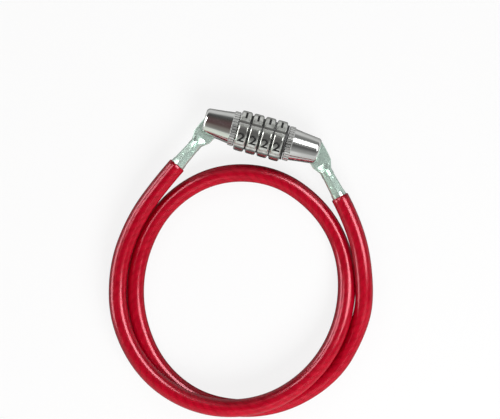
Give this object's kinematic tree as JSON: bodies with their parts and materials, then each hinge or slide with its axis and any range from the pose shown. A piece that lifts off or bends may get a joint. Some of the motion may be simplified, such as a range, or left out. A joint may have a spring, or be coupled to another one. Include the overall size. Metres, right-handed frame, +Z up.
{
  "type": "cable luggage lock",
  "caption": "Combination cable lock for luggage: numbered dials on a barrel between tapered chrome caps, a pull-out bolt, hinged ferrules and a looped plastic-covered steel cable.",
  "frame": {"origin": "on the floor under the middle of the lock body, midway between the ends of its caps", "axes": "+X along the lock body from the fixed cap towards the bolt's cap, +Z up from the floor that the lock lies on; the loop of cable lies towards -Y"},
  "size_m": [0.1225, 0.1398, 0.0188],
  "materials": {
    "chrome_zinc": "polished chrome plate on cast zinc",
    "plain_steel": "turned and drawn steel",
    "plated_steel": "pale zinc plate, slightly green, with crimp marks",
    "brass": "turned brass",
    "black_plastic": "moulded, matt",
    "red_sheath": "clear red vinyl with the twisted rope just showing through",
    "steel_rope": "bright twisted strands"
  },
  "bodies": {
    "lock_body": {"left_cap": "chrome_zinc", "barrel": "plain_steel", "barrel_pin": "plain_steel", "index_spring": "plain_steel", "retaining_ring": "black_plastic", "left_pivot_pin": "plain_steel", "spacer_1": "black_plastic", "spacer_2": "black_plastic", "spacer_3": "black_plastic", "cable_sheath": "red_sheath", "wire_rope": "steel_rope"},
    "number_wheel_1": {"dial_1": "chrome_zinc", "gate_ring_1": "brass"},
    "number_wheel_2": {"dial_2": "chrome_zinc", "gate_ring_2": "brass"},
    "number_wheel_3": {"dial_3": "chrome_zinc", "gate_ring_3": "brass"},
    "number_wheel_4": {"dial_4": "chrome_zinc", "gate_ring_4": "brass"},
    "bolt_unit": {"right_cap": "chrome_zinc", "bolt": "plain_steel", "bolt_pin": "plain_steel", "right_pivot_pin": "plain_steel"},
    "left_cable_end": {"left_ferrule": "plated_steel"},
    "right_cable_end": {"right_ferrule": "plated_steel"}
  },
  "joints": [
    {"name": "dial_1_turn", "type": "hinge", "parent": "lock_body", "child": "number_wheel_1", "pos_m": [-0.0089, 0, 0.0094], "axis": [1, 0, 0], "continuous": true, "deforming": ["index_spring"]},
    {"name": "dial_2_turn", "type": "hinge", "parent": "lock_body", "child": "number_wheel_2", "pos_m": [-0.0033, 0, 0.0094], "axis": [1, 0, 0], "continuous": true, "deforming": ["index_spring"]},
    {"name": "dial_3_turn", "type": "hinge", "parent": "lock_body", "child": "number_wheel_3", "pos_m": [0.0023, 0, 0.0094], "axis": [1, 0, 0], "continuous": true, "deforming": ["index_spring"]},
    {"name": "dial_4_turn", "type": "hinge", "parent": "lock_body", "child": "number_wheel_4", "pos_m": [0.0079, 0, 0.0094], "axis": [1, 0, 0], "continuous": true, "deforming": ["index_spring"]},
    {"name": "bolt_slide", "type": "slide", "parent": "lock_body", "child": "bolt_unit", "axis": [1, 0, 0], "range_m": [0, 0.028], "deforming": ["cable_sheath", "wire_rope"]},
    {"name": "left_ferrule_swing", "type": "hinge", "parent": "lock_body", "child": "left_cable_end", "pos_m": [-0.02395, 0, 0.0094], "axis": [0, 0, 1], "range_deg": [-64, 26], "deforming": ["cable_sheath", "wire_rope"]},
    {"name": "right_ferrule_swing", "type": "hinge", "parent": "bolt_unit", "child": "right_cable_end", "pos_m": [0.02395, 0, 0.0094], "axis": [0, 0, 1], "range_deg": [-43.5, 46.5], "deforming": ["cable_sheath", "wire_rope"]}
  ]
}
